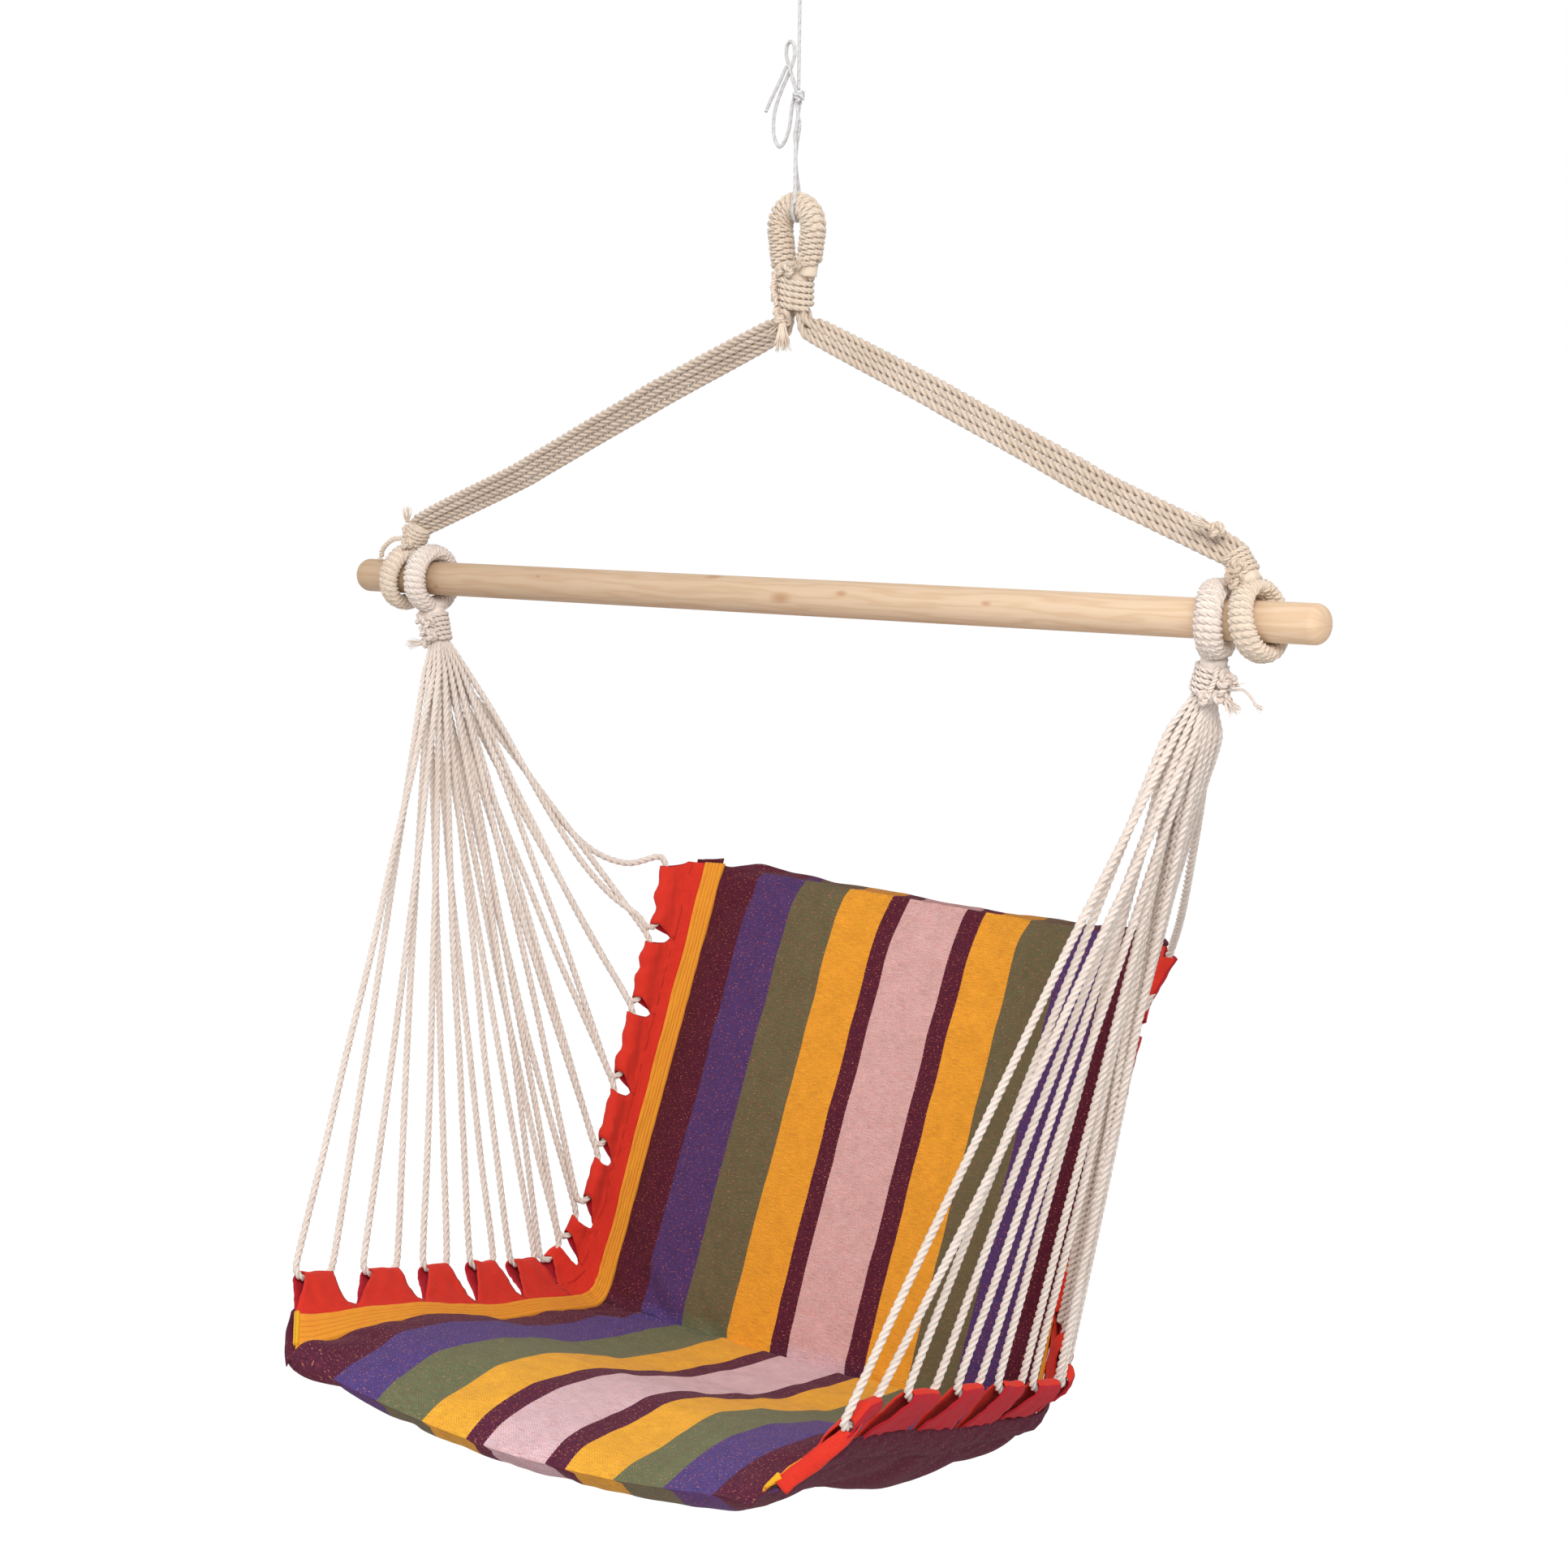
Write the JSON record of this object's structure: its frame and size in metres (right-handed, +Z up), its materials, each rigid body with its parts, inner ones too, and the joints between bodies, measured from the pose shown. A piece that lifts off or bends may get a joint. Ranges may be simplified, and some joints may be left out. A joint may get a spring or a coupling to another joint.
{
  "type": "hammock chair",
  "caption": "Hammock chair: padded striped seat and back laced to fans of cord, in rope rings on a round wooden bar, hung by rope legs from a whipped eye.",
  "frame": {"origin": "where the line's top loop bears on what holds it up, straight above the bar's middle", "axes": "+Z up, +X along the bar towards the end that hangs higher, on the left hand of someone sitting in the chair; the seat opens towards -Y"},
  "size_m": [0.9682, 0.5728, 1.1337],
  "materials": {
    "cotton_rope": "natural twisted cotton",
    "white_cord": "bleached twisted cotton",
    "line_white": "smooth braided line",
    "pale_wood": "pale, satin",
    "striped_cloth": "woven cotton, stripes of plum, blue-violet, olive, yellow and pink",
    "under_cloth": "woven cotton, the same stripes",
    "red_cloth": "woven cotton",
    "wadding": "soft fibre filling"
  },
  "bodies": {
    "line": {"line_top_loop": "line_white", "line_run": "line_white"},
    "knot": {"line_knot": "line_white"},
    "bight": {"line_bight": "line_white"},
    "suspension": {"eye_core": "cotton_rope", "eye_whipping": "cotton_rope", "eye_neck_wrap": "cotton_rope", "eye_tail": "cotton_rope", "left_leg_strand_1": "cotton_rope", "left_leg_strand_2": "cotton_rope", "left_leg_strand_3": "cotton_rope", "left_leg_strand_4": "cotton_rope", "left_hanger_ring": "cotton_rope", "left_hanger_whipping": "cotton_rope", "left_hanger_neck_wrap": "cotton_rope", "right_leg_strand_1": "cotton_rope", "right_leg_strand_2": "cotton_rope", "right_leg_strand_3": "cotton_rope", "right_leg_strand_4": "cotton_rope", "right_hanger_ring": "cotton_rope", "right_hanger_whipping": "cotton_rope", "right_hanger_neck_wrap": "cotton_rope"},
    "bar": {"bar": "pale_wood"},
    "seat": {"seat_padding": "wadding", "back_padding": "wadding", "front_cloth": "striped_cloth", "rear_cloth": "under_cloth", "left_hem": "red_cloth", "right_hem": "red_cloth", "left_seat_ring": "white_cord", "left_seat_ring_whipping": "white_cord", "left_seat_neck_wrap": "white_cord", "left_cord_bight_01": "white_cord", "left_cord_bight_02": "white_cord", "left_cord_bight_03": "white_cord", "left_cord_bight_04": "white_cord", "left_cord_bight_05": "white_cord", "left_cord_bight_06": "white_cord", "left_cord_bight_07": "white_cord", "left_cord_bight_08": "white_cord", "left_cord_bight_09": "white_cord", "left_cord_bight_10": "white_cord", "left_cord_bight_11": "white_cord", "left_cord_bight_12": "white_cord", "right_seat_ring": "white_cord", "right_seat_ring_whipping": "white_cord", "right_seat_neck_wrap": "white_cord", "right_cord_bight_01": "white_cord", "right_cord_bight_02": "white_cord", "right_cord_bight_03": "white_cord", "right_cord_bight_04": "white_cord", "right_cord_bight_05": "white_cord", "right_cord_bight_06": "white_cord", "right_cord_bight_07": "white_cord", "right_cord_bight_08": "white_cord", "right_cord_bight_09": "white_cord", "right_cord_bight_10": "white_cord", "right_cord_bight_11": "white_cord", "right_cord_bight_12": "white_cord"}
  },
  "joints": [
    {"name": "chair_turn", "type": "hinge", "parent": "line", "child": "knot", "pos_m": [0, 0, -0.1062], "axis": [0, 0, 1], "range_deg": [-180, 180]},
    {"name": "chair_swing", "type": "hinge", "parent": "knot", "child": "bight", "pos_m": [0, 0, -0.1115], "axis": [1, 0, 0], "range_deg": [-30, 30]},
    {"name": "side_swing", "type": "hinge", "parent": "bight", "child": "suspension", "pos_m": [0, 0, -0.208], "axis": [0, 1, 0], "range_deg": [-20, 20]},
    {"name": "bar_roll", "type": "hinge", "parent": "suspension", "child": "bar", "pos_m": [0, 0, -0.485], "axis": [0.9992, 0, 0.0391], "continuous": true},
    {"name": "seat_swing", "type": "hinge", "parent": "suspension", "child": "seat", "pos_m": [0, 0, -0.485], "axis": [0.9992, 0, 0.0391], "range_deg": [-30, 30]}
  ]
}
